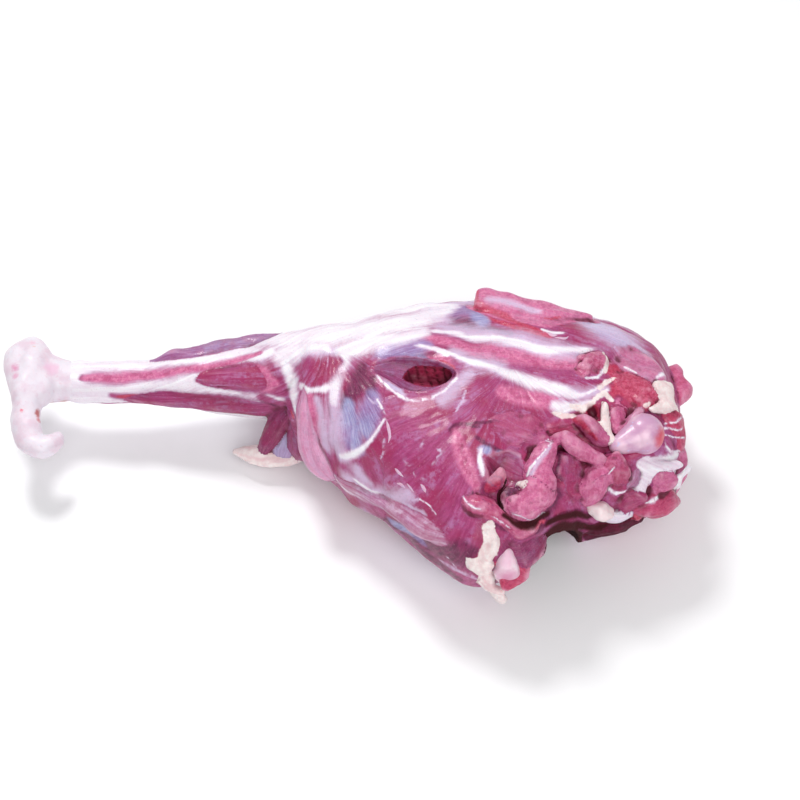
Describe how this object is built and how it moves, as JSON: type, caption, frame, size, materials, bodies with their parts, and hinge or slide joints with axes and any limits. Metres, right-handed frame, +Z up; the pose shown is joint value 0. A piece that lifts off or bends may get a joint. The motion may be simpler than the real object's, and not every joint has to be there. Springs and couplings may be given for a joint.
{
  "type": "raw leg of lamb",
  "caption": "Raw hind leg of lamb lying on its side, with a bare hooked hock bone, a lean shank and a torn hip end where the ball of the thigh bone shows.",
  "frame": {"origin": "middle of the underside of the whole leg's bounding box, on the surface that it lies on", "axes": "+X from the hock to the cut hip end, +Z up from the flat underside, -Y the side that the hock's hook points to"},
  "size_m": [0.4413, 0.209, 0.1034],
  "materials": {
    "meat": "moist raw lamb with white fascia and cream fat",
    "hock": "pale pink sinew over bone, faintly moist",
    "hip_cartilage": "smooth wet cartilage, mauve to white",
    "cut_cartilage": "cut cartilage, pink in a white rim"
  },
  "bodies": {
    "root": {"leg_meat": "meat", "hock_bone": "hock", "femur_head": "hip_cartilage", "cartilage_tip": "cut_cartilage", "trochanter_knob": "cut_cartilage"}
  },
  "joints": []
}
